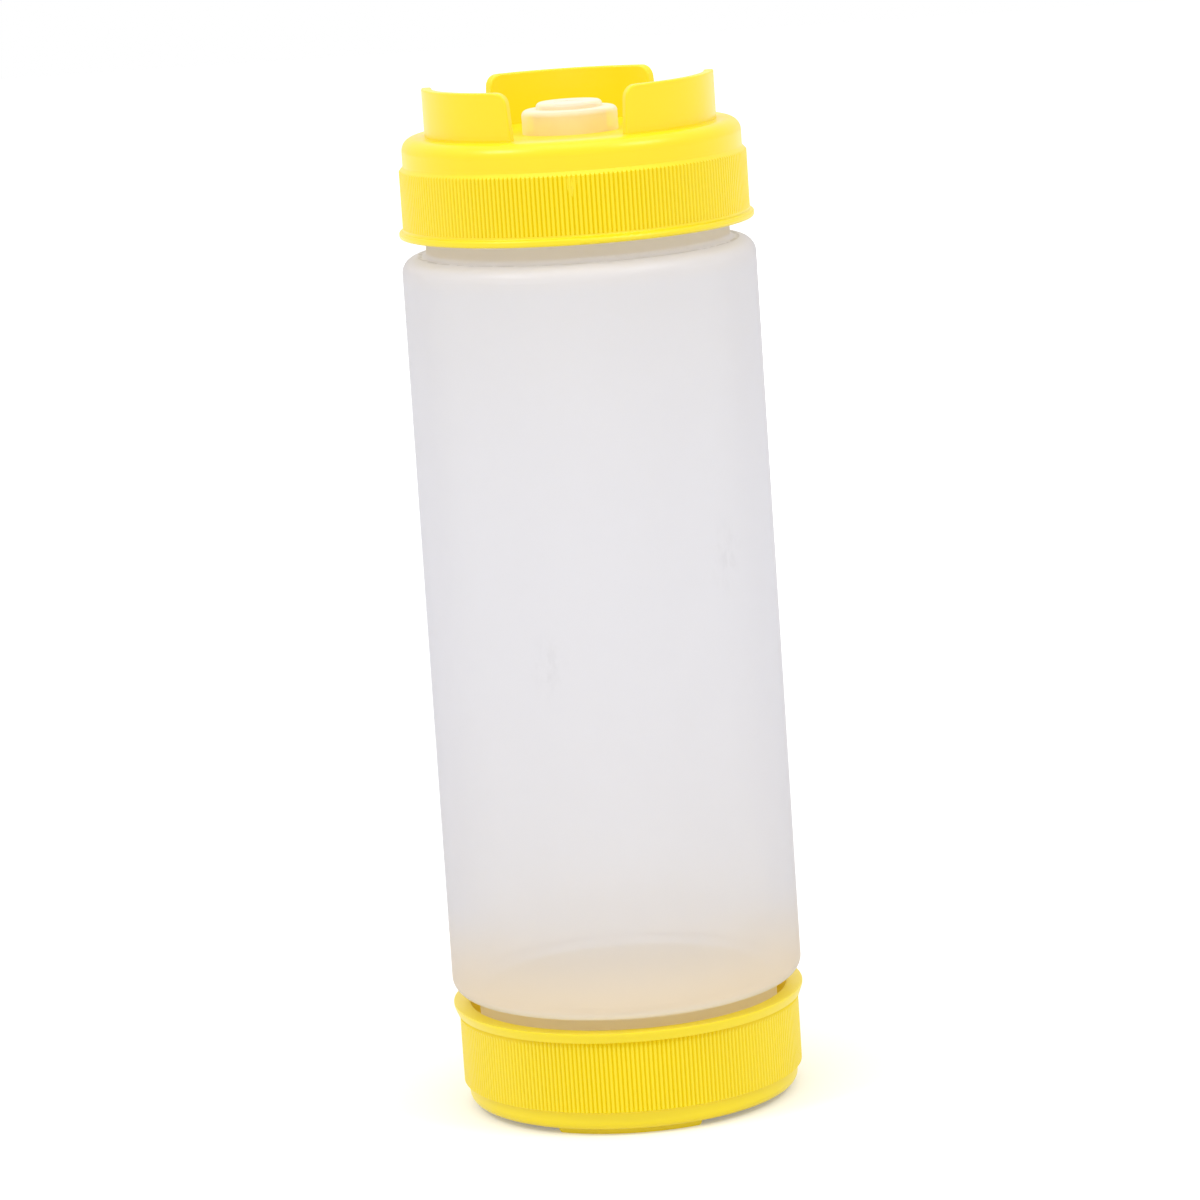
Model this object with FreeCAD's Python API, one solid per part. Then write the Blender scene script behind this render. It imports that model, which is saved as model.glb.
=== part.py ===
import FreeCAD, Part
import math
import os

# A two-ended squeeze bottle for sauces: a blow-moulded cylinder with a neck at each end, a
# dispensing cap with a soft valve on the upper neck, and a flat refill cap on the lower neck,
# on which the bottle stands.  Millimetres, +Z up, origin on the axis under the feet.

# ---- Bottle, blow-moulded in one wall thickness ------------------------------------------
BODY_HEIGHT = 148.25       # cylinder, from its lower shoulder to its upper shoulder
NECK_RADIUS = 29.9         # outside of both necks
SHOULDER_WIDTH = 5.2       # how far the cylinder's foot stands out from the necks
BODY_DRAFT = 0.28          # how much narrower, on the radius, the cylinder is at its top
BOTTLE_WALL = 1.2
SHOULDER_ROUND = 3.15      # outer corner of each shoulder
NECK_ROOT_ROUND = 0.95     # inner corner where a neck rises from its shoulder

# ---- Seating of the caps on the necks ----------------------------------------------------
THREAD_ROOM = 1.9          # radial room for the screw threads between neck and skirt
UPPER_NECK_SHOWING = 3.85  # neck left open between the upper shoulder and the cap
LOWER_NECK_SHOWING = 2.15  # neck left open between the lower shoulder and the cap

# ---- Skirt that both caps share ----------------------------------------------------------
SKIRT_WALL = 2.3           # wall at the ribbed band
CAP_PLATE = 1.8            # deck of the dispensing cap, floor of the refill cap
RIB_COUNT = 240
RIB_DEPTH = 0.32
RIB_CREST_SHARE = 0.46     # part of the pitch that stays as the flat crest of a rib
RIB_END_GAP = 0.25         # plain band left between the ribs and the lip under them

# ---- Dispensing cap (upper) --------------------------------------------------------------
CAP_HEIGHT = 19.6          # from the lip's underside to the rim round the deck
LIP_STEP = 0.8             # how far the lip stands out from the band
LIP_HEIGHT = 1.4
LIP_EDGE_ROUND = 0.55
LIP_ROOT_ROUND = 0.3
UPPER_RING_STEP = 0.8      # from the band in to the smooth ring above it
UPPER_RING_HEIGHT = 5.6    # smooth ring with its rounded shoulder, down to the cone
UPPER_CONE_HEIGHT = 0.9    # slope from the smooth ring out to the band
DECK_EDGE_ROUND = 2.65
DECK_RECESS = 0.9          # how far the deck inside the crown lies below its rim
DISPENSING_CAP_TURN = -1.2  # degrees that the cap has stopped short of facing straight ahead

# ---- Crown of three curved walls round the valve -----------------------------------------
CROWN_WALLS = 3
CROWN_INSET = 4.7          # from the smooth ring in to the outside of the crown
CROWN_HEIGHT = 9.35
CROWN_WALL = 2.0
CROWN_GAP_ANGLE = 45.5     # degrees between two walls, at their foot
CROWN_END_DRAFT = 0.65     # how far each end of a wall leans back from its foot to its top
CROWN_CORNER_ROUND = 2.5   # the upper corners at the ends of each wall
CROWN_EDGE_ROUND = 0.35

# ---- Valve, a silicone grommet gripping the deck -----------------------------------------
VALVE_RADIUS = 9.4         # lower tier, which lies on the deck
VALVE_TIER_HEIGHT = 4.65
VALVE_TOP_RADIUS = 6.5     # upper tier
VALVE_TOP_HEIGHT = 1.3
VALVE_GROOVE = 1.1         # how deep the deck's edge sits in the valve
VALVE_FLANGE_STEP = 1.9    # flange under the deck, beyond the lower tier
VALVE_FLANGE_HEIGHT = 1.5
VALVE_SKIN = 1.1
VALVE_TIER_ROUND = 1.1
VALVE_TOP_ROUND = 0.9
SLIT_LENGTH = 8.0
SLIT_WIDTH = 0.3
SLIT_TURNS = (45.0, 135.0)  # degrees; the two slits cross on the axis

# ---- Refill cap (lower) ------------------------------------------------------------------
REFILL_HEIGHT = 20.25      # from its underside to the rim at the top of the bead
BEAD_STEP = 1.05           # how far the bead stands out from the band
BEAD_EDGE_HEIGHT = 0.5
BEAD_SLOPE_HEIGHT = 2.65   # from the bead's widest edge down to the band
BEAD_ROUND = 1.5
BEAD_EDGE_ROUND = 0.1      # outer edge of the bead's rim
BEAD_RIB_RISE = 1.15       # how far the ribs run up into the bead's slope
LOWER_RING_STEP = 1.0      # from the band in to the smooth ring below it
LOWER_RING_HEIGHT = 3.7    # smooth ring, from the underside to the band
LOWER_CONE_HEIGHT = 0.4
UNDERSIDE_ROUND = 1.75
RIM_EDGE_ROUND = 0.3
FOOT_HEIGHT = 1.05
FOOT_COUNT = 3
FOOT_ANGLE = 54.0          # degrees that each foot spans
FOOT_WIDTH = 2.6
FOOT_INSET = 2.1           # from the smooth ring in to the outside of the feet
FOOT_CORNER_ROUND = 0.8
REFILL_CAP_TURN = -2.7     # degrees

# ---- Radii that follow from the necks ----------------------------------------------------
body_radius = NECK_RADIUS + SHOULDER_WIDTH
body_top_radius = body_radius - BODY_DRAFT
bore_radius = NECK_RADIUS + THREAD_ROOM
band_radius = bore_radius + SKIRT_WALL
upper_ring_radius = band_radius - UPPER_RING_STEP
lower_ring_radius = band_radius - LOWER_RING_STEP
crown_radius = upper_ring_radius - CROWN_INSET
crown_bore_radius = crown_radius - CROWN_WALL
foot_radius = lower_ring_radius - FOOT_INSET
valve_hole_radius = VALVE_RADIUS - VALVE_GROOVE

# ---- Levels, stacked from the feet upwards -----------------------------------------------
underside = FOOT_HEIGHT
floor_top = underside + CAP_PLATE
bead_top = underside + REFILL_HEIGHT
body_bottom = bead_top + LOWER_NECK_SHOWING
body_top = body_bottom + BODY_HEIGHT
lip_bottom = body_top + UPPER_NECK_SHOWING
rim_top = lip_bottom + CAP_HEIGHT
deck_top = rim_top - DECK_RECESS
deck_bottom = deck_top - CAP_PLATE
crown_top = rim_top + CROWN_HEIGHT

AXIS_POINT = FreeCAD.Vector(0, 0, 0)
AXIS = FreeCAD.Vector(0, 0, 1)
FRONT_ANGLE = -90.0        # degrees about the axis, of the side that faces -Y
TINY = 1e-4                # two levels or points closer than this are the same


def at(radius, height):
    """A point of a section, in the XZ plane."""
    return FreeCAD.Vector(radius, 0, height)


def polar(radius, angle, height):
    """A point at an angle (radians) about the axis."""
    return FreeCAD.Vector(radius * math.cos(angle), radius * math.sin(angle), height)


def rounded_corner(before, corner, after, radius):
    """Start, middle and end of the arc that rounds a corner between its two neighbours."""
    to_before = (before - corner).normalize()
    to_after = (after - corner).normalize()
    half_angle = to_before.getAngle(to_after) / 2
    trim = radius / math.tan(half_angle)
    inset = radius / math.sin(half_angle) - radius
    middle = corner + (to_before + to_after).normalize() * inset
    return corner + to_before * trim, middle, corner + to_after * trim


def section(corners):
    """A closed face in the XZ plane from corners (radius, height[, round])."""
    count = len(corners)
    points = [at(corner[0], corner[1]) for corner in corners]
    rounds = [corner[2] if len(corner) > 2 else 0.0 for corner in corners]
    arcs = [rounded_corner(points[index - 1], points[index], points[(index + 1) % count], rounds[index])
            for index in range(count)]
    edges = []
    for index, (start, middle, end) in enumerate(arcs):
        if rounds[index] > 0:
            edges.append(Part.Arc(start, middle, end).toShape())
        next_start = arcs[(index + 1) % count][0]
        if next_start.distanceToPoint(end) > TINY:
            edges.append(Part.LineSegment(end, next_start).toShape())
    return Part.Face(Part.Wire(edges))


def lathe(corners):
    """A solid of revolution about the axis."""
    return section(corners).revolve(AXIS_POINT, AXIS, 360)


def arc_wall(outer_radius, wall, low, high, centre_angle, span):
    """A curved wall about the axis, its two ends cut along radii (angles in degrees)."""
    face = section([(outer_radius - wall, low), (outer_radius, low),
                    (outer_radius, high), (outer_radius - wall, high)])
    piece = face.revolve(AXIS_POINT, AXIS, span)
    piece.rotate(AXIS_POINT, AXIS, centre_angle - span / 2)
    return piece


def lean_ends(piece, outer_radius, wall, low, high, centre_angle, span, draft):
    """Cuts the ends of an arc wall so that they lean back by the draft at its top."""
    near_radius = outer_radius - 2 * wall
    for side in (-1, 1):
        angle = math.radians(centre_angle + side * span / 2)
        outward = FreeCAD.Vector(math.cos(angle), math.sin(angle), 0)
        back = FreeCAD.Vector(math.sin(angle), -math.cos(angle), 0) * side
        foot = outward * near_radius + AXIS * low
        rise = AXIS * (high - low)
        corners = [foot, foot + rise * 2 + back * draft * 2, foot + rise * 2 - back * wall,
                   foot - back * wall, foot]
        wedge = Part.Face(Part.makePolygon(corners)).extrude(outward * 3 * wall)
        piece = piece.cut(wedge)
    return piece


def round_end_corners(piece, level, radius):
    """Rounds the two short radial edges of an arc wall that lie at one level."""
    level_edges = [edge for edge in piece.Edges
                   if all(abs(vertex.Z - level) < TINY for vertex in edge.Vertexes)]
    return piece.makeFillet(radius, [edge for edge in level_edges
                                     if edge.Curve.TypeId == "Part::GeomLine"])


def round_free_edges(piece, seat_level, radius):
    """Eases every edge of an arc wall that doesn't touch the level it grows from."""
    free = [edge for edge in piece.Edges
            if all(abs(vertex.Z - seat_level) > TINY for vertex in edge.Vertexes)]
    return piece.makeFillet(radius, free)


def cut_ribs(cap, low, high):
    """Cuts the V grooves between the grip ribs into a cap's band."""
    pitch = 2 * math.pi / RIB_COUNT
    groove_share = 1 - RIB_CREST_SHARE
    root = band_radius - RIB_DEPTH
    beyond = root + RIB_DEPTH / groove_share     # where two neighbouring grooves would meet
    outline = []
    for rib in range(RIB_COUNT):
        outline.append(polar(beyond, rib * pitch, low))
        outline.append(polar(root, (rib + 0.5) * pitch, low))
    outline.append(outline[0])
    clear = Part.Circle(at(0, low), AXIS, 2 * band_radius).toShape()
    comb = Part.makeFace([clear, Part.makePolygon(outline)], "Part::FaceMakerBullseye")
    return cap.cut(comb.extrude(AXIS * (high - low)))


def make_bottle():
    bore = NECK_RADIUS - BOTTLE_WALL
    inner_shoulder_round = SHOULDER_ROUND - BOTTLE_WALL
    inner_root_round = NECK_ROOT_ROUND + BOTTLE_WALL
    return lathe([
        (NECK_RADIUS, floor_top),
        (NECK_RADIUS, body_bottom, NECK_ROOT_ROUND),
        (body_radius, body_bottom, SHOULDER_ROUND),
        (body_top_radius, body_top, SHOULDER_ROUND),
        (NECK_RADIUS, body_top, NECK_ROOT_ROUND),
        (NECK_RADIUS, deck_bottom),
        (bore, deck_bottom),
        (bore, body_top - BOTTLE_WALL, inner_root_round),
        (body_top_radius - BOTTLE_WALL, body_top - BOTTLE_WALL, inner_shoulder_round),
        (body_radius - BOTTLE_WALL, body_bottom + BOTTLE_WALL, inner_shoulder_round),
        (bore, body_bottom + BOTTLE_WALL, inner_root_round),
        (bore, floor_top),
    ])


def make_dispensing_cap():
    lip_radius = band_radius + LIP_STEP
    lip_top = lip_bottom + LIP_HEIGHT
    cone_top = rim_top - UPPER_RING_HEIGHT
    cone_bottom = cone_top - UPPER_CONE_HEIGHT
    cap = lathe([
        (bore_radius, lip_bottom),
        (lip_radius, lip_bottom, LIP_EDGE_ROUND),
        (lip_radius, lip_top, LIP_EDGE_ROUND),
        (band_radius, lip_top, LIP_ROOT_ROUND),
        (band_radius, cone_bottom),
        (upper_ring_radius, cone_top),
        (upper_ring_radius, rim_top, DECK_EDGE_ROUND),
        (crown_bore_radius, rim_top),
        (crown_bore_radius, deck_top),
        (valve_hole_radius, deck_top),
        (valve_hole_radius, deck_bottom),
        (bore_radius, deck_bottom),
    ])
    cap = cut_ribs(cap, lip_top + LIP_ROOT_ROUND + RIB_END_GAP, cone_top)
    span = 360.0 / CROWN_WALLS - CROWN_GAP_ANGLE
    for wall in range(CROWN_WALLS):
        gap_centre = FRONT_ANGLE + DISPENSING_CAP_TURN + wall * 360.0 / CROWN_WALLS
        wall_centre = gap_centre + 180.0 / CROWN_WALLS
        place = (crown_radius, CROWN_WALL, rim_top, crown_top, wall_centre, span)
        piece = lean_ends(arc_wall(*place), *place, CROWN_END_DRAFT)
        piece = round_end_corners(piece, crown_top, CROWN_CORNER_ROUND)
        cap = cap.fuse(round_free_edges(piece, rim_top, CROWN_EDGE_ROUND))
    return cap


def make_valve():
    tier_top = deck_top + VALVE_TIER_HEIGHT
    top = tier_top + VALVE_TOP_HEIGHT
    flange_bottom = deck_bottom - VALVE_FLANGE_HEIGHT
    flange_radius = VALVE_RADIUS + VALVE_FLANGE_STEP
    wide_bore = valve_hole_radius - VALVE_SKIN
    narrow_bore = VALVE_TOP_RADIUS - VALVE_SKIN
    valve = lathe([
        (wide_bore, flange_bottom),
        (flange_radius, flange_bottom),
        (flange_radius, deck_bottom),
        (valve_hole_radius, deck_bottom),
        (valve_hole_radius, deck_top),
        (VALVE_RADIUS, deck_top),
        (VALVE_RADIUS, tier_top, VALVE_TIER_ROUND),
        (VALVE_TOP_RADIUS, tier_top),
        (VALVE_TOP_RADIUS, top, VALVE_TOP_ROUND),
        (0, top),
        (0, top - VALVE_SKIN),
        (narrow_bore, top - VALVE_SKIN),
        (narrow_bore, tier_top - VALVE_SKIN),
        (wide_bore, tier_top - VALVE_SKIN),
    ])
    slit_bottom = top - 2 * VALVE_SKIN
    for turn in SLIT_TURNS:
        corner = FreeCAD.Vector(-SLIT_LENGTH / 2, -SLIT_WIDTH / 2, slit_bottom)
        slit = Part.makeBox(SLIT_LENGTH, SLIT_WIDTH, 2 * (top - slit_bottom), corner)
        slit.rotate(AXIS_POINT, AXIS, turn + DISPENSING_CAP_TURN)
        valve = valve.cut(slit)
    return valve


def make_refill_cap():
    bead_radius = band_radius + BEAD_STEP
    bead_edge = bead_top - BEAD_EDGE_HEIGHT
    slope_bottom = bead_edge - BEAD_SLOPE_HEIGHT
    cone_bottom = underside + LOWER_RING_HEIGHT
    cap = lathe([
        (0, underside),
        (lower_ring_radius, underside, UNDERSIDE_ROUND),
        (lower_ring_radius, cone_bottom),
        (band_radius, cone_bottom + LOWER_CONE_HEIGHT),
        (band_radius, slope_bottom),
        (bead_radius, bead_edge, BEAD_ROUND),
        (bead_radius, bead_top, BEAD_EDGE_ROUND),
        (bore_radius, bead_top, RIM_EDGE_ROUND),
        (bore_radius, floor_top),
        (0, floor_top),
    ])
    cap = cut_ribs(cap, cone_bottom, slope_bottom + BEAD_RIB_RISE)
    for foot in range(FOOT_COUNT):
        centre = FRONT_ANGLE + REFILL_CAP_TURN + foot * 360.0 / FOOT_COUNT
        piece = arc_wall(foot_radius, FOOT_WIDTH, 0, underside, centre, FOOT_ANGLE)
        cap = cap.fuse(round_end_corners(piece, 0, FOOT_CORNER_ROUND))
    return cap


NODES = {
    "bottle": make_bottle,
    "dispensing_cap": make_dispensing_cap,
    "valve": make_valve,
    "refill_cap": make_refill_cap,
}


def main():
    os.makedirs("parts", exist_ok=True)
    for name, make in NODES.items():
        shape = make()
        print(name, "solids", len(shape.Solids), "valid", shape.isValid(),
              "faces", len(shape.Faces), "volume", round(shape.Volume, 1))
        shape.exportStep("parts/" + name + ".step")


main()
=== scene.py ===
import bpy
import bmesh
import math
from mathutils import Matrix, Vector


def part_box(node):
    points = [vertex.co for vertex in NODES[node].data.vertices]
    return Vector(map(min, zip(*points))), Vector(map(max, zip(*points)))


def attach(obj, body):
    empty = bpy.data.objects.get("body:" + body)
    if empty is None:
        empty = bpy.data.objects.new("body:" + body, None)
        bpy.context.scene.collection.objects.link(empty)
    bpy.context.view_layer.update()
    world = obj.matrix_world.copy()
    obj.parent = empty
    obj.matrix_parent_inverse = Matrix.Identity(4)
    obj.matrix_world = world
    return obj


# Looks of a two-ended squeeze bottle: a milky polyethylene bottle between two yellow screw caps.
# Metres, in the frame of the CAD nodes: +Z up, the origin on the axis under the feet.

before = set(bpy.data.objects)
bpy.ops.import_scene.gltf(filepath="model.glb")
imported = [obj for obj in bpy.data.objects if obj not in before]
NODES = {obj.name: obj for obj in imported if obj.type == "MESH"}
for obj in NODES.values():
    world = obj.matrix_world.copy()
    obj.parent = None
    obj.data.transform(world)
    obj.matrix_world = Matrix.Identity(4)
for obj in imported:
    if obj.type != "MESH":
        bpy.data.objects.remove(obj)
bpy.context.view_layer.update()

BODY = "root"
MM = 0.001

BOTTLE_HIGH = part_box("bottle")[1]
CAP_LOW, CAP_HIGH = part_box("dispensing_cap")
REFILL_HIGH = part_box("refill_cap")[1]
VALVE_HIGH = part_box("valve")[1]

# Levels of the moulded forms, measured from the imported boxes.
BODY_LOW = REFILL_HIGH.z + 2.15 * MM       # lower shoulder of the bottle
BODY_HIGH = CAP_LOW.z - 3.85 * MM          # upper shoulder of the bottle
DECK_TOP = VALVE_HIGH.z - 5.95 * MM        # where the valve rises from the deck

# Caps: pairs are the two ends between which a noise varies.
CAP_YELLOWS = ((0.90, 0.705, 0.006), (0.94, 0.745, 0.010))
CAP_ROUGHNESS = (0.28, 0.36)
CAP_IOR = 1.49
CAP_GRAIN = 0.02 * MM                      # depth of the surface's fine grain

# Bottle: its own milky colour, and a painted yellow glow that stands in for the caps' light shining
# into its wall.
MILK = ((0.87, 0.86, 0.89), (0.91, 0.90, 0.93))
LOW_PAINTED_CAP_GLOW = (1.0, 0.86, 0.66)               # painted yellow glow of the caps' light, just above the refill cap
# painted orange glow of the refill cap's light on the neck inside it
LOW_NECK_PAINTED_CAP_GLOW = (1.0, 0.82, 0.44)
LOW_RIM_PAINTED_HIGHLIGHT = (0.99, 0.96, 0.95)          # painted pale highlight on the lower shoulder's rounded edge
HIGH_PAINTED_CAP_GLOW = (0.94, 0.88, 0.84)             # painted warm glow of the caps' light, just below the dispensing cap
# painted warm, brighter light on the neck inside the dispensing cap
HIGH_NECK_PAINTED_CAP_GLOW = (1.0, 0.94, 0.87)
GLOW = (0.95, 0.95, 0.98)                  # light scattered on through the wall
# the same, tinted near each cap by a painted yellow cast of the caps' light
GLOW_LOW = (1.0, 0.87, 0.66)
GLOW_LOW_NECK = (1.0, 0.86, 0.54)
GLOW_HIGH_NECK = (1.0, 0.95, 0.88)
LOW_GLOW_HEIGHT = 22.0 * MM                # how far the painted glow of the caps' light reaches along the bottle
HIGH_GLOW_HEIGHT = 6.0 * MM
NECK_BLEND = 1.5 * MM                      # half the height over which a neck's painted glow sets in
RIM_BELOW = 0.6 * MM
RIM_ABOVE = 2.4 * MM
BODY_SOLID = 0.72                          # how solid the wall is where it is met head on
POOL_SOLID = 0.6                           # how far it turns solid just above the refill cap
BODY_GLOW_SHARE = 0.3                      # share of the light scattered on by the body's wall
BOTTLE_ROUGHNESS = (0.30, 0.38)
BOTTLE_IOR = 1.5
BOTTLE_GRAIN = 0.05 * MM
COAT_IOR = 1.05                            # a thin tinted coat that greys the wall edge on
COAT_ROUGHNESS = 0.4
COAT_TINT = (0.90, 0.90, 0.91, 1)
EDGE_START = 0.30                          # Layer Weight facings between which a wall
EDGE_END = 0.80                            # is met more and more edge on
SMUDGES = (                                # azimuth in degrees, height and reach of each smear
    (45.0, 112.0 * MM, 6.5 * MM),
    (-19.0, 94.5 * MM, 5.0 * MM),
)
SMUDGE_FLATTENING = 0.6                    # below 1, a smear is taller than it is wide
SMUDGE_GREY = (0.66, 0.65, 0.67)
SMUDGE_STRENGTH = 0.45

# Valve.
SILICONE = ((0.93, 0.81, 0.62), (0.96, 0.85, 0.68))
# painted yellow glow of the deck's light on the valve's foot
SILICONE_PAINTED_DECK_GLOW = (1.0, 0.82, 0.46)
SILICONE_SOLID = (0.74, 0.80)
SILICONE_ROUGHNESS = 0.40
SILICONE_IOR = 1.43
SILICONE_GRAIN = 0.02 * MM

# Where the noises' values turn from one end of a pair to the other.
NOISE_LOW = 0.3
NOISE_HIGH = 0.7

# Gate mark.
BAND_RADIUS = CAP_HIGH.x - 0.8 * MM        # crests of the dispensing cap's ribs
GATE_TURN = math.radians(-1.0)
GATE_LEVEL = CAP_LOW.z + 11.1 * MM
GATE_HALF_WIDTH = 1.5 * MM                 # at its top; it narrows towards its foot
GATE_HALF_HEIGHT = 2.0 * MM
GATE_MIDDLE_WIDTH = 0.65                   # width half way up, as a share of the top's
GATE_ROOT = -0.34 * MM                     # its edge, from the ribs' crests
GATE_RISE = -0.04 * MM                     # its middle, from the ribs' crests
GATE_RIPPLE = 0.13 * MM
GATE_DEPTH = 0.8 * MM                      # its back, inside the cap's wall
GATE_STEPS = 16


# ---- Node helpers ------------------------------------------------------------------------

def new_material(name):
    """A node material, with its Principled shader and an Object-coordinates node."""
    material = bpy.data.materials.new(name)
    material.use_nodes = True
    tree = material.node_tree
    shader = tree.nodes["Principled BSDF"]
    coords = tree.nodes.new("ShaderNodeTexCoord")
    return material, tree, shader, coords.outputs["Object"]


def noise(tree, vector, scale, detail=3.0, roughness=0.5, stretch=(1, 1, 1)):
    """Noise over the object's own coordinates; stretch scales each axis."""
    mapping = tree.nodes.new("ShaderNodeMapping")
    mapping.inputs["Scale"].default_value = stretch
    tree.links.new(vector, mapping.inputs["Vector"])
    node = tree.nodes.new("ShaderNodeTexNoise")
    node.inputs["Scale"].default_value = scale
    node.inputs["Detail"].default_value = detail
    node.inputs["Roughness"].default_value = roughness
    tree.links.new(mapping.outputs["Vector"], node.inputs["Vector"])
    return node.outputs["Fac"]


def spread(tree, value, low, high, new_low, new_high):
    """Maps low..high to new_low..new_high, clamped and smooth."""
    node = tree.nodes.new("ShaderNodeMapRange")
    node.interpolation_type = "SMOOTHSTEP"
    node.inputs["From Min"].default_value = low
    node.inputs["From Max"].default_value = high
    node.inputs["To Min"].default_value = new_low
    node.inputs["To Max"].default_value = new_high
    tree.links.new(value, node.inputs["Value"])
    return node.outputs["Result"]


def mix(tree, factor, first, second):
    """Mixes two colours (tuples or sockets) by a factor socket."""
    node = tree.nodes.new("ShaderNodeMix")
    node.data_type = "RGBA"
    tree.links.new(factor, node.inputs["Factor"])
    for socket, value in ((node.inputs["A"], first), (node.inputs["B"], second)):
        if isinstance(value, tuple):
            socket.default_value = (*value, 1.0)
        else:
            tree.links.new(value, socket)
    return node.outputs["Result"]


def flipped(tree, value):
    """Turns 0..1 into 1..0, clamped and smooth."""
    return spread(tree, value, 0.0, 1.0, 1.0, 0.0)


def bump(tree, shader, height, distance):
    """Gives a shader a fine relief; height is a socket, distance its depth."""
    node = tree.nodes.new("ShaderNodeBump")
    node.inputs["Strength"].default_value = 1.0
    node.inputs["Distance"].default_value = distance
    tree.links.new(height, node.inputs["Height"])
    tree.links.new(node.outputs["Normal"], shader.inputs["Normal"])


def height_of(tree, vector):
    """The Z of a vector socket."""
    split = tree.nodes.new("ShaderNodeSeparateXYZ")
    tree.links.new(vector, split.inputs["Vector"])
    return split.outputs["Z"]


def turned_out(tree, vector):
    """1 on faces turned away from the bottle's axis, 0 on those turned towards it."""
    level = tree.nodes.new("ShaderNodeVectorMath")
    level.operation = "MULTIPLY"
    level.inputs[1].default_value = (1, 1, 0)
    tree.links.new(vector, level.inputs[0])
    outward = tree.nodes.new("ShaderNodeVectorMath")
    outward.operation = "DOT_PRODUCT"
    tree.links.new(level.outputs["Vector"], outward.inputs[0])
    tree.links.new(tree.nodes["Texture Coordinate"].outputs["Normal"], outward.inputs[1])
    sign = tree.nodes.new("ShaderNodeMath")
    sign.operation = "GREATER_THAN"
    sign.inputs[1].default_value = 0.0
    tree.links.new(outward.outputs["Value"], sign.inputs[0])
    return sign.outputs[0]


def combine(tree, operation, first, second):
    """One Math node over two sockets."""
    node = tree.nodes.new("ShaderNodeMath")
    node.operation = operation
    tree.links.new(first, node.inputs[0])
    tree.links.new(second, node.inputs[1])
    return node.outputs[0]


def multiply(tree, first, second):
    return combine(tree, "MULTIPLY", first, second)


def larger(tree, first, second):
    return combine(tree, "MAXIMUM", first, second)


def first_face(tree):
    """1 where a wall is met from outside its material, 0 where it is met from within."""
    side = tree.nodes.new("ShaderNodeNewGeometry")
    return flipped(tree, side.outputs["Backfacing"])


def see_through(tree, shader, solid):
    """Lets light straight through a wall that is solid by this much where it is met head on, and
    wholly where it is met edge on.  Only the wall's first face counts; the second, met from inside
    the wall, is clear."""
    view = tree.nodes.new("ShaderNodeLayerWeight")
    view.inputs["Blend"].default_value = 0.5
    edge = spread(tree, view.outputs["Facing"], EDGE_START, EDGE_END, 0.0, 1.0)
    wall = tree.nodes.new("ShaderNodeMix")
    wall.inputs["B"].default_value = 1.0
    tree.links.new(edge, wall.inputs["Factor"])
    tree.links.new(solid, wall.inputs["A"])
    tree.links.new(multiply(tree, wall.outputs["Result"], first_face(tree)), shader.inputs["Alpha"])


def let_light_through(tree, shader, colour, share):
    """Scatters a share of the light that falls on a wall on through it."""
    glow = tree.nodes.new("ShaderNodeBsdfTranslucent")
    wall = tree.nodes.new("ShaderNodeMixShader")
    tree.links.new(colour, glow.inputs["Color"])
    tree.links.new(multiply(tree, share, first_face(tree)), wall.inputs["Fac"])
    tree.links.new(shader.outputs["BSDF"], wall.inputs[1])
    tree.links.new(glow.outputs["BSDF"], wall.inputs[2])
    tree.links.new(wall.outputs["Shader"], tree.nodes["Material Output"].inputs["Surface"])


# ---- Materials ---------------------------------------------------------------------------

def cap_plastic():
    """Bright yellow polypropylene, fairly glossy, with a faint flow pattern."""
    material, tree, shader, coords = new_material("cap_yellow_polypropylene")
    flow = noise(tree, coords, 90.0, 3.0, 0.5, (1, 1, 0.35))
    colour = mix(tree, flow, *CAP_YELLOWS)
    tree.links.new(colour, shader.inputs["Base Color"])
    roughness = spread(tree, flow, NOISE_LOW, NOISE_HIGH, *CAP_ROUGHNESS)
    tree.links.new(roughness, shader.inputs["Roughness"])
    shader.inputs["IOR"].default_value = CAP_IOR
    bump(tree, shader, noise(tree, coords, 900.0, 2.0), CAP_GRAIN)
    return material


def smudge(tree, coords, colour, azimuth, level, reach):
    """Greys a patch of the bottle's wall, as a faint smear left by handling."""
    turn = math.radians(azimuth)
    radius = BOTTLE_HIGH.x
    stretched = tree.nodes.new("ShaderNodeVectorMath")
    stretched.operation = "MULTIPLY"
    stretched.inputs[1].default_value = (1, 1, SMUDGE_FLATTENING)
    tree.links.new(coords, stretched.inputs[0])
    apart = tree.nodes.new("ShaderNodeVectorMath")
    apart.operation = "DISTANCE"
    apart.inputs[1].default_value = (radius * math.sin(turn), -radius * math.cos(turn),
                                     level * SMUDGE_FLATTENING)
    tree.links.new(stretched.outputs["Vector"], apart.inputs[0])
    patch = spread(tree, apart.outputs["Value"], 0.0, reach, 1.0, 0.0)
    grain = noise(tree, coords, 420.0, 3.0, 0.6, (1, 1, 0.5))
    streaks = spread(tree, grain, 0.40, 0.68, 0.0, SMUDGE_STRENGTH)
    return mix(tree, multiply(tree, patch, streaks), colour, SMUDGE_GREY)


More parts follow.
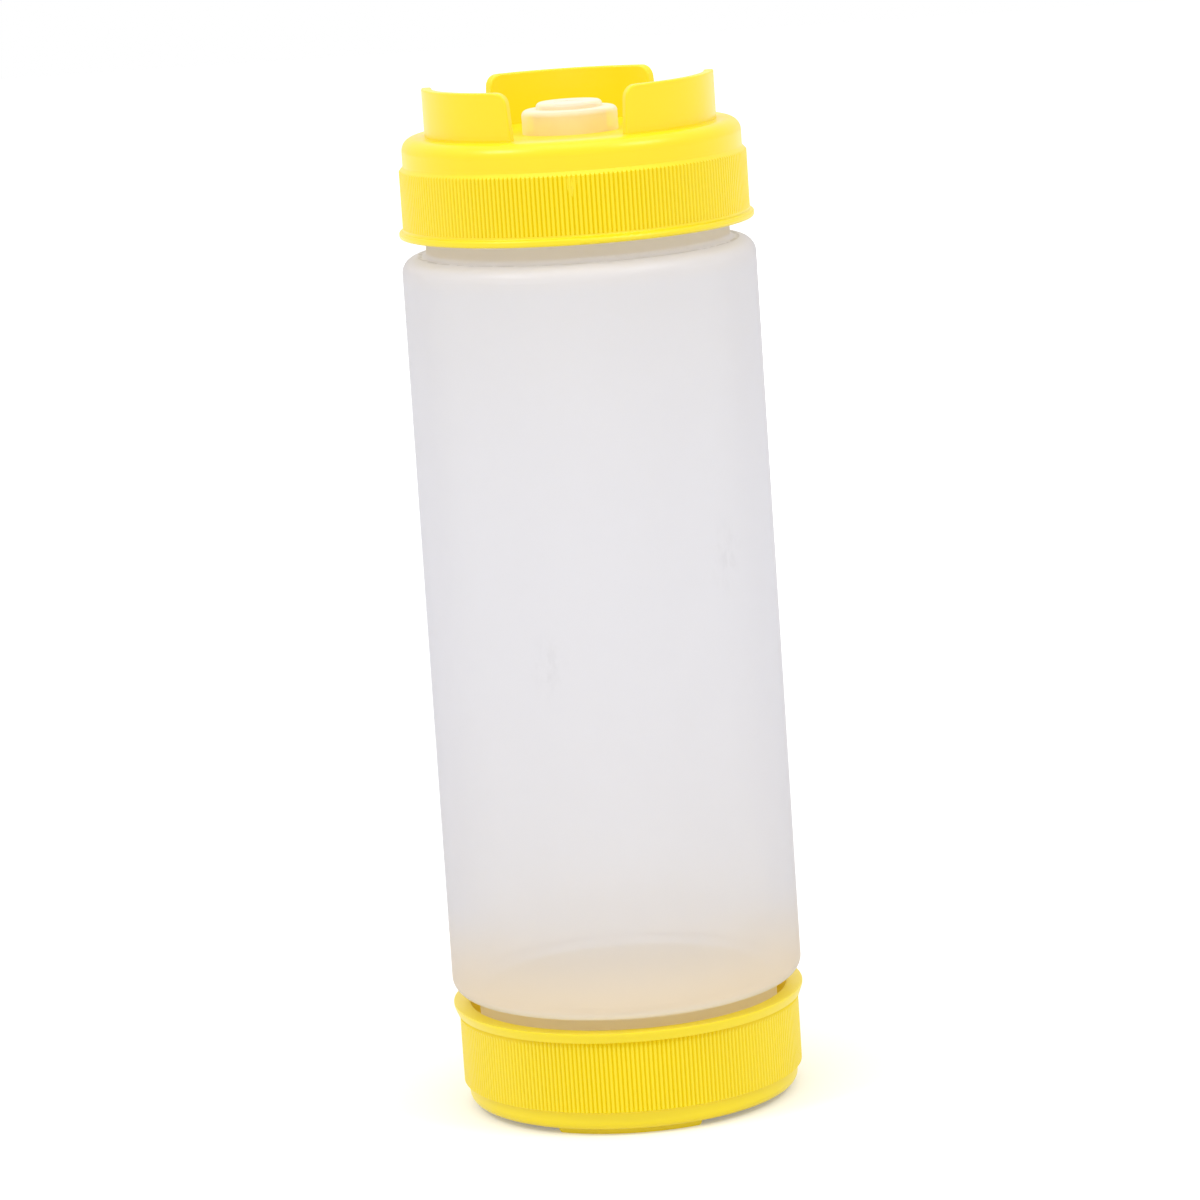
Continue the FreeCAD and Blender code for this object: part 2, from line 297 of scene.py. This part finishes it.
def bottle_plastic():
    """Milky low-density polyethylene that lets some light straight through.  Inside the caps and
    next to them the wall is painted with a yellow glow that stands in for the caps' light."""
    material, tree, shader, coords = new_material("bottle_milky_polyethylene")
    haze = noise(tree, coords, 28.0, 4.0, 0.55, (1, 1, 0.5))
    height = height_of(tree, coords)
    # Height masks for the painted glow of the caps' light and the painted rim highlight; the neck
    # masks also set how solid the wall is and how much light it lets through.
    low_glow = spread(tree, height, BODY_LOW, BODY_LOW + LOW_GLOW_HEIGHT, 1.0, 0.0)
    low_neck = spread(tree, height, BODY_LOW - NECK_BLEND, BODY_LOW + NECK_BLEND, 1.0, 0.0)
    low_rim_highlight = multiply(tree, spread(tree, height, BODY_LOW - RIM_BELOW, BODY_LOW, 0.0, 1.0),
                       spread(tree, height, BODY_LOW + RIM_BELOW, BODY_LOW + RIM_ABOVE, 1.0, 0.0))
    high_glow = spread(tree, height, BODY_HIGH - HIGH_GLOW_HEIGHT, BODY_HIGH, 0.0, 1.0)
    high_neck = spread(tree, height, BODY_HIGH - NECK_BLEND, BODY_HIGH + NECK_BLEND, 0.0, 1.0)
    neck = larger(tree, low_neck, high_neck)

    # The milky colour with the painted glow of the caps' light and the painted rim highlight mixed
    # in by height; the smears are real.
    milk_and_painted_glow = mix(tree, haze, *MILK)
    for where, tint in ((low_glow, LOW_PAINTED_CAP_GLOW), (low_neck, LOW_NECK_PAINTED_CAP_GLOW), (low_rim_highlight, LOW_RIM_PAINTED_HIGHLIGHT),
                        (high_glow, HIGH_PAINTED_CAP_GLOW), (high_neck, HIGH_NECK_PAINTED_CAP_GLOW)):
        milk_and_painted_glow = mix(tree, where, milk_and_painted_glow, tint)
    for azimuth, level, reach in SMUDGES:
        milk_and_painted_glow = smudge(tree, coords, milk_and_painted_glow, azimuth, level, reach)
    tree.links.new(milk_and_painted_glow, shader.inputs["Base Color"])
    roughness = spread(tree, haze, NOISE_LOW, NOISE_HIGH, *BOTTLE_ROUGHNESS)
    tree.links.new(roughness, shader.inputs["Roughness"])
    shader.inputs["IOR"].default_value = BOTTLE_IOR
    shader.inputs["Coat Weight"].default_value = 1.0
    shader.inputs["Coat IOR"].default_value = COAT_IOR
    shader.inputs["Coat Roughness"].default_value = COAT_ROUGHNESS
    shader.inputs["Coat Tint"].default_value = COAT_TINT
    bump(tree, shader, noise(tree, coords, 160.0, 2.0, 0.5, (1, 1, 0.4)), BOTTLE_GRAIN)

    pool = spread(tree, low_glow, 0.0, 1.0, 0.0, POOL_SOLID)
    see_through(tree, shader, spread(tree, larger(tree, neck, pool), 0.0, 1.0, BODY_SOLID, 1.0))

    # The light scattered through the wall, tinted near the caps by a painted yellow cast of their
    # light.
    glow = mix(tree, low_glow, GLOW, GLOW_LOW)
    glow = mix(tree, low_neck, glow, GLOW_LOW_NECK)
    glow = mix(tree, high_neck, glow, GLOW_HIGH_NECK)
    outside = turned_out(tree, coords)
    outer_neck = multiply(tree, neck, outside)
    inner_neck = multiply(tree, neck, flipped(tree, outside))
    share = multiply(tree, spread(tree, outer_neck, 0.0, 1.0, BODY_GLOW_SHARE, 1.0),
                     flipped(tree, inner_neck))
    let_light_through(tree, shader, glow, share)
    return material


def valve_silicone():
    """Milky silicone rubber, with a painted yellow glow of the deck's light towards its foot."""
    material, tree, shader, coords = new_material("valve_silicone")
    haze = noise(tree, coords, 120.0, 3.0)
    milk_and_painted_glow = mix(tree, haze, *SILICONE)
    # painted yellow glow of the deck's light, strongest at the deck
    rise = spread(tree, height_of(tree, coords), DECK_TOP, VALVE_HIGH.z, 1.0, 0.0)
    milk_and_painted_glow = mix(tree, rise, milk_and_painted_glow, SILICONE_PAINTED_DECK_GLOW)
    tree.links.new(milk_and_painted_glow, shader.inputs["Base Color"])
    shader.inputs["Roughness"].default_value = SILICONE_ROUGHNESS
    shader.inputs["IOR"].default_value = SILICONE_IOR
    bump(tree, shader, noise(tree, coords, 700.0, 2.0), SILICONE_GRAIN)
    see_through(tree, shader, spread(tree, haze, NOISE_LOW, NOISE_HIGH, *SILICONE_SOLID))
    return material


def paint(name, material):
    """Gives a CAD node its material."""
    node = NODES[name]
    node.data.materials.clear()
    node.data.materials.append(material)


def finish_nodes():
    """Gives every CAD node its looks, and adds the gate mark."""
    yellow = cap_plastic()
    paint("dispensing_cap", yellow)
    paint("refill_cap", yellow)
    paint("bottle", bottle_plastic())
    paint("valve", valve_silicone())
    make_gate_mark(yellow)


# ---- Gate mark ---------------------------------------------------------------------------

def make_gate_mark(material):
    """The scar of the mould's gate: a low lump that fills the grooves of a few ribs."""
    mesh = bmesh.new()
    steps = GATE_STEPS
    front, back = {}, {}
    for i in range(steps + 1):
        for j in range(steps + 1):
            across = 2.0 * i / steps - 1
            up = 2.0 * j / steps - 1
            narrowed = across / (GATE_MIDDLE_WIDTH + (1 - GATE_MIDDLE_WIDTH) * up)
            crown = max(0.0, 1 - narrowed * narrowed) * max(0.0, 1 - up * up)
            ripple = math.sin(9 * across + 2 * up) * math.cos(4 * up - across)
            rise = GATE_ROOT + (GATE_RISE - GATE_ROOT + GATE_RIPPLE * ripple) * crown ** 0.5
            turn = GATE_TURN + across * GATE_HALF_WIDTH / BAND_RADIUS
            level = GATE_LEVEL + up * GATE_HALF_HEIGHT
            for side, radius in ((front, BAND_RADIUS + rise), (back, BAND_RADIUS - GATE_DEPTH)):
                point = (radius * math.sin(turn), -radius * math.cos(turn), level)
                side[i, j] = mesh.verts.new(point)
    for i in range(steps):
        for j in range(steps):
            corners = ((i, j), (i + 1, j), (i + 1, j + 1), (i, j + 1))
            mesh.faces.new([front[c] for c in corners])
            mesh.faces.new([back[c] for c in reversed(corners)])
    rim = [(i, 0) for i in range(steps)] + [(steps, j) for j in range(steps)]
    rim += [(i, steps) for i in range(steps, 0, -1)] + [(0, j) for j in range(steps, 0, -1)]
    for here, after in zip(rim, rim[1:] + rim[:1]):
        mesh.faces.new([back[here], back[after], front[after], front[here]])
    bmesh.ops.recalc_face_normals(mesh, faces=mesh.faces)
    data = bpy.data.meshes.new("gate_mark")
    mesh.to_mesh(data)
    mesh.free()
    data.shade_smooth()
    data.materials.append(material)
    piece = bpy.data.objects.new("gate_mark", data)
    bpy.context.scene.collection.objects.link(piece)
    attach(piece, BODY)


# ---- Stage -------------------------------------------------------------------------------

FLOOR_HALF = 3.0
FLOOR_COLOUR = (0.86, 0.86, 0.86)
FLOOR_ROUGHNESS = 0.9
NEAR_LIFT = 0.21           # glow that lights nothing, so that the floor reads as white
FAR_LIFT = 0.60            # the same where the lamps no longer reach
LIFT_START = 0.25          # distances from the bottle between which the glow rises
LIFT_END = 1.1
WORLD_LIGHT = 0.82         # strength of the world as a light; it is seen at strength 1
SOFTBOXES = (              # name, azimuth and elevation in degrees, distance, width, watts
    ("softbox_left", -60, 48, 1.3, 0.34, 3.8),
    ("softbox_right", 58, 48, 1.3, 0.34, 3.4),
    ("softbox_top", 0, 78, 1.2, 0.8, 2.2),
)


def seen_rays(tree):
    """A socket that is 1 for the rays that show the white stage, and 0 for those that light."""
    rays = tree.nodes.new("ShaderNodeLightPath").outputs
    seen = larger(tree, rays["Is Camera Ray"], rays["Is Glossy Ray"])
    return larger(tree, seen, rays["Is Transmission Ray"])


def make_floor():
    """A plain pale floor, which the camera sees as white away from the bottle's shadow."""
    mesh = bpy.data.meshes.new("floor")
    signs = ((-1, -1), (1, -1), (1, 1), (-1, 1))
    corners = [(x * FLOOR_HALF, y * FLOOR_HALF, 0) for x, y in signs]
    mesh.from_pydata(corners, [], [(0, 1, 2, 3)])
    floor = bpy.data.objects.new("floor", mesh)
    bpy.context.scene.collection.objects.link(floor)
    material, tree, shader, coords = new_material("floor_white")
    shader.inputs["Base Color"].default_value = (*FLOOR_COLOUR, 1)
    shader.inputs["Roughness"].default_value = FLOOR_ROUGHNESS
    shader.inputs["Specular IOR Level"].default_value = 0.0
    shader.inputs["Emission Color"].default_value = (1, 1, 1, 1)
    distance = tree.nodes.new("ShaderNodeVectorMath")
    distance.operation = "LENGTH"
    tree.links.new(coords, distance.inputs[0])
    lift = spread(tree, distance.outputs["Value"], LIFT_START, LIFT_END, NEAR_LIFT, FAR_LIFT)
    tree.links.new(multiply(tree, lift, seen_rays(tree)), shader.inputs["Emission Strength"])
    mesh.materials.append(material)


def make_world():
    """A white studio around the bottle."""
    world = bpy.data.worlds.new("studio")
    bpy.context.scene.world = world
    world.use_nodes = True
    tree = world.node_tree
    background = tree.nodes["Background"]
    background.inputs["Color"].default_value = (1, 1, 1, 1)
    strength = tree.nodes.new("ShaderNodeMapRange")
    strength.inputs["To Min"].default_value = WORLD_LIGHT
    strength.inputs["To Max"].default_value = 1.0
    tree.links.new(seen_rays(tree), strength.inputs["Value"])
    tree.links.new(strength.outputs["Result"], background.inputs["Strength"])


def add_softbox(name, azimuth, elevation, distance, width, power, target):
    """A square area lamp; azimuth 0 is in front of the bottle, positive to the camera's right."""
    turn = math.radians(azimuth)
    lift = math.radians(elevation)
    offset = Vector((math.sin(turn) * math.cos(lift), -math.cos(turn) * math.cos(lift),
                     math.sin(lift)))
    lamp = bpy.data.lights.new(name, "AREA")
    lamp.shape = "RECTANGLE"
    lamp.size = lamp.size_y = width
    lamp.energy = power
    lamp_object = bpy.data.objects.new(name, lamp)
    bpy.context.scene.collection.objects.link(lamp_object)
    lamp_object.location = target + offset * distance
    lamp_object.rotation_euler = (-offset).to_track_quat("-Z", "Y").to_euler()


def make_lamps():
    """Hangs the softboxes around the middle of the bottle."""
    target = Vector((0, 0, CAP_HIGH.z / 2))
    for softbox in SOFTBOXES:
        add_softbox(*softbox, target)


# ---- Camera ------------------------------------------------------------------------------

CAMERA_TARGET = Vector((-0.0004, 0, 0.1009))
CAMERA_BACK = 1.0135       # level distance from the bottle's axis
CAMERA_RISE = 0.1821       # height above the target
CAMERA_ROLL = 3.842        # degrees, so that the bottle leans left in the picture
CAMERA_LENS = 155.5        # millimetres, as is the sensor's width
SENSOR = 36.0
CAMERA_CLIP = 0.05


def make_camera():
    """The camera in front of the bottle, a little above its middle."""
    camera = bpy.data.cameras.new("camera")
    camera.lens = CAMERA_LENS
    camera.sensor_width = SENSOR
    camera.clip_start = CAMERA_CLIP
    camera_object = bpy.data.objects.new("camera", camera)
    bpy.context.scene.collection.objects.link(camera_object)
    camera_object.location = CAMERA_TARGET + Vector((0, -CAMERA_BACK, CAMERA_RISE))
    aim = (CAMERA_TARGET - camera_object.location).to_track_quat("-Z", "Y")
    roll = Matrix.Rotation(math.radians(-CAMERA_ROLL), 4, "Z")
    camera_object.rotation_euler = (aim.to_matrix().to_4x4() @ roll).to_euler()
    bpy.context.scene.camera = camera_object


make_camera()
make_floor()
make_world()
make_lamps()
finish_nodes()

bpy.context.scene.view_settings.view_transform = "Standard"
